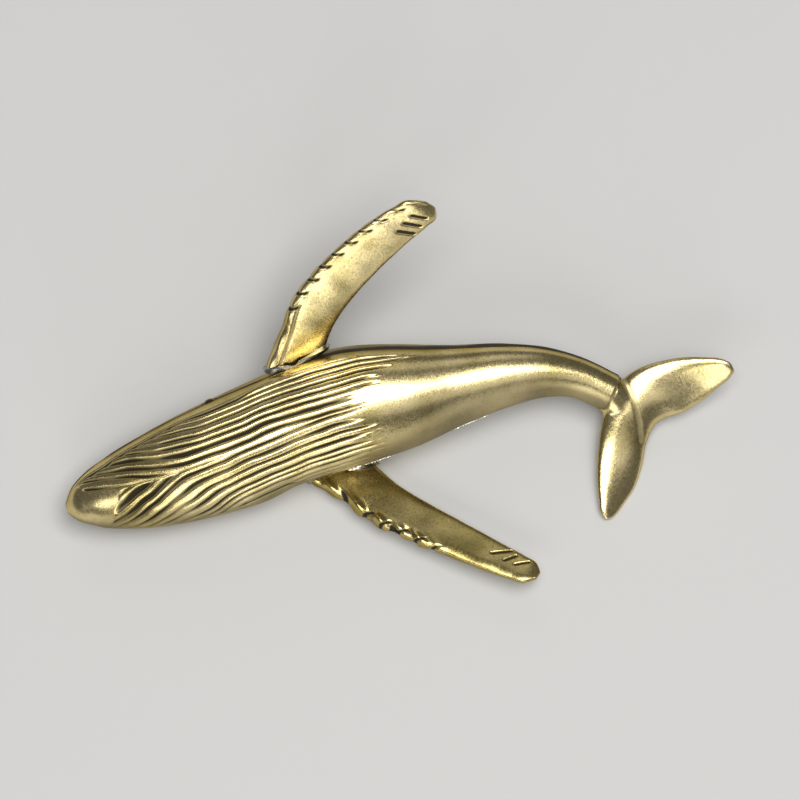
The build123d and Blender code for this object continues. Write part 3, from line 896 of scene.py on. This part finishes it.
# Solder: dull grey silver solder between the body's halves, round the flipper roots and at the fluke.
# It was fed in by hand, so it stands proud in small uneven beads where it was not filed away.
SOLDER_GREY = (0.52, 0.53, 0.53)
SOLDER_BROWN = (0.24, 0.21, 0.15)
SOLDER_BRIGHT = (0.80, 0.77, 0.66)
SOLDER_GRAIN = 0.6
BEAD_GRAIN = 0.3
solder_finish = brass_finish("solder_finish", SOLDER_GREY, SOLDER_BROWN, DARK_PATINA, SOLDER_GRAIN)
filed_solder = brass_finish("filed_solder", WORN_BRASS, SOLDER_BROWN, DARK_PATINA, SOLDER_GRAIN)
SOLDER_LINES = {
    "flank_solder": filed_solder,
    "left_flipper_solder": solder_finish,
    "right_flipper_solder": solder_finish,
    "fluke_solder": filed_solder,
}
for name, finish in SOLDER_LINES.items():
    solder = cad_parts[name]
    solder.data.materials.clear()
    solder.data.materials.append(finish)

BEAD_RADIUS = 0.3
BEAD_APART = 0.4
BEAD_STEPS = 12

# Places along the right flank where solder was left in beads, and the size of the beads there
BEAD_RUNS = ((0.510, 0.525, 1.6), (0.545, 0.600, 0.8), (0.715, 0.775, 0.7))
BEAD_LEVEL = math.radians(10)


def bead_tree():
    # Small round drops of uneven size strung along a line
    tree = bpy.data.node_groups.new("solder_beads", "GeometryNodeTree")
    face = tree.interface
    face.new_socket("Geometry", in_out="OUTPUT", socket_type="NodeSocketGeometry")
    face.new_socket("Geometry", in_out="INPUT", socket_type="NodeSocketGeometry")
    face.new_socket("Radius", in_out="INPUT", socket_type="NodeSocketFloat")
    face.new_socket("Apart", in_out="INPUT", socket_type="NodeSocketFloat")
    face.new_socket("Seed", in_out="INPUT", socket_type="NodeSocketInt")
    face.new_socket("Material", in_out="INPUT", socket_type="NodeSocketMaterial")
    nodes, link = tree.nodes, tree.links.new
    given = nodes.new("NodeGroupInput")
    result = nodes.new("NodeGroupOutput")
    line = nodes.new("GeometryNodeMeshToCurve")
    spaced = nodes.new("GeometryNodeCurveToPoints")
    spaced.mode = "LENGTH"
    ball = nodes.new("GeometryNodeMeshIcoSphere")
    ball.inputs["Subdivisions"].default_value = 3
    uneven = nodes.new("FunctionNodeRandomValue")
    uneven.data_type = "FLOAT_VECTOR"
    uneven.inputs["Min"].default_value = (0.7, 0.5, 0.4)
    uneven.inputs["Max"].default_value = (1.9, 1.1, 0.9)
    drops = nodes.new("GeometryNodeInstanceOnPoints")
    realize = nodes.new("GeometryNodeRealizeInstances")
    soft = nodes.new("GeometryNodeSetShadeSmooth")
    finish = nodes.new("GeometryNodeSetMaterial")
    link(given.outputs["Geometry"], line.inputs[0])
    link(line.outputs[0], spaced.inputs["Curve"])
    link(given.outputs["Apart"], spaced.inputs["Length"])
    link(given.outputs["Radius"], ball.inputs["Radius"])
    link(given.outputs["Seed"], uneven.inputs["Seed"])
    link(spaced.outputs["Points"], drops.inputs["Points"])
    link(ball.outputs["Mesh"], drops.inputs["Instance"])
    link(uneven.outputs["Value"], drops.inputs["Scale"])
    link(drops.outputs["Instances"], realize.inputs["Geometry"])
    link(realize.outputs["Geometry"], soft.inputs["Geometry"])
    link(soft.outputs["Geometry"], finish.inputs["Geometry"])
    link(given.outputs["Material"], finish.inputs["Material"])
    link(finish.outputs["Geometry"], result.inputs["Geometry"])
    return tree


SOLDER_BEADS = bead_tree()
bead_finish = brass_finish("bead_finish", SOLDER_BRIGHT, SOLDER_GREY, DARK_PATINA, BEAD_GRAIN)
for number, (first, last, size) in enumerate(BEAD_RUNS):
    places = np.linspace(first, last, BEAD_STEPS)
    middle, side, width, _ = body_frame(places)
    level = np.array((0, 0, 1)) * (SEAM / 2 + width * BELLY_RATIO * math.sin(BEAD_LEVEL))[:, None]
    joint = lay_down(middle - side * (width * math.cos(BEAD_LEVEL))[:, None] + level)
    mesh = bpy.data.meshes.new(f"flank_beads_{number}")
    mesh.from_pydata(joint.tolist(), [(place, place + 1) for place in range(len(places) - 1)], [])
    beads = bpy.data.objects.new(f"flank_beads_{number}", mesh)
    bpy.context.scene.collection.objects.link(beads)
    modifier = beads.modifiers.new("beads", "NODES")
    modifier.node_group = SOLDER_BEADS
    wanted = {
        "Radius": BEAD_RADIUS * size * MM,
        "Apart": BEAD_APART * MM,
        "Seed": number,
        "Material": bead_finish,
    }
    for item in SOLDER_BEADS.interface.items_tree:
        if item.in_out == "INPUT" and item.name in wanted:
            modifier[item.identifier] = wanted[item.name]
    graph = bpy.context.evaluated_depsgraph_get()
    plain = bpy.data.meshes.new_from_object(beads.evaluated_get(graph))
    beads.modifiers.remove(modifier)
    beads.data = plain
    plain.name = beads.name
    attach(beads, "root")


# Studio: a plain pale floor, one large soft lamp overhead and five weaker ones, three in front, one
# beyond the head and one on the far side. The camera is almost straight above, where the belly shows
# from the whale's right.
FLOOR_SIZE = 4.0
FLOOR_COLOUR = (0.58, 0.575, 0.56)
FLOOR_ROUGHNESS = 0.9
SKY_GREY = 0.78
SKY_STRENGTH = 0.15
AZIMUTH = math.radians(-15.5)
ELEVATION = math.radians(73.3)
LOOK_FROM_MIDDLE = np.array((10.48, -0.72, 0.64))
LOOK_AT = Vector(BODY_MIDDLE + LOOK_FROM_MIDDLE) * MM
DISTANCE = 0.765
FOCAL_PIXELS = 5200
FRAME_PIXELS = 800
SENSOR = 36.0

# Place, size and power of each lamp
LAMPS = {
    "top_lamp": ((0.12, -0.17, 1.20), (0.90, 0.75), 14.0),
    "front_lamp": ((-0.15, -1.00, 0.22), (0.50, 0.40), 1.7),
    "tail_lamp": ((-0.25, -0.90, 0.63), (0.25, 0.35), 1.2),
    "side_lamp": ((0.40, -0.75, 0.95), (0.50, 0.40), 0.4),
    "head_lamp": ((-0.62, -0.66, 0.60), (0.35, 0.35), 1.2),
    "far_lamp": ((0.20, 0.95, 0.75), (0.90, 0.50), 0.9),
}

floor_mesh = bpy.data.meshes.new("floor")
half_floor = FLOOR_SIZE / 2
floor_corners = [(x * half_floor, y * half_floor, 0) for x, y in ((-1, -1), (1, -1), (1, 1), (-1, 1))]
floor_mesh.from_pydata(floor_corners, [], [(0, 1, 2, 3)])
floor = bpy.data.objects.new("floor", floor_mesh)
bpy.context.scene.collection.objects.link(floor)
floor_paper = bpy.data.materials.new("floor_paper")
floor_paper.use_nodes = True
floor_shader = floor_paper.node_tree.nodes["Principled BSDF"]
floor_shader.inputs["Base Color"].default_value = (*FLOOR_COLOUR, 1)
floor_shader.inputs["Roughness"].default_value = FLOOR_ROUGHNESS
floor_mesh.materials.append(floor_paper)


def soft_lamp(name, place, size, power):
    lamp = bpy.data.lights.new(name, "AREA")
    lamp.shape = "RECTANGLE"
    lamp.size, lamp.size_y = size
    lamp.energy = power
    holder = bpy.data.objects.new(name, lamp)
    holder.location = place
    holder.rotation_mode = "QUATERNION"
    holder.rotation_quaternion = (LOOK_AT - Vector(place)).to_track_quat("-Z", "Y")
    bpy.context.scene.collection.objects.link(holder)


for name, (place, size, power) in LAMPS.items():
    soft_lamp(name, place, size, power)

world = bpy.data.worlds.new("studio")
world.use_nodes = True
sky = world.node_tree.nodes["Background"]
sky.inputs["Color"].default_value = (SKY_GREY, SKY_GREY, SKY_GREY, 1)
sky.inputs["Strength"].default_value = SKY_STRENGTH
bpy.context.scene.world = world

camera_data = bpy.data.cameras.new("camera")
camera_data.sensor_width = SENSOR
camera_data.lens = FOCAL_PIXELS / FRAME_PIXELS * SENSOR
camera_data.clip_start = 0.01
camera = bpy.data.objects.new("camera", camera_data)
toward_camera = Vector(
    (
        math.sin(AZIMUTH) * math.cos(ELEVATION),
        -math.cos(AZIMUTH) * math.cos(ELEVATION),
        math.sin(ELEVATION),
    )
)
camera.location = LOOK_AT + toward_camera * DISTANCE
camera.rotation_mode = "QUATERNION"
camera.rotation_quaternion = (-toward_camera).to_track_quat("-Z", "Y")
bpy.context.scene.collection.objects.link(camera)
bpy.context.scene.camera = camera
bpy.context.scene.view_settings.view_transform = "Standard"
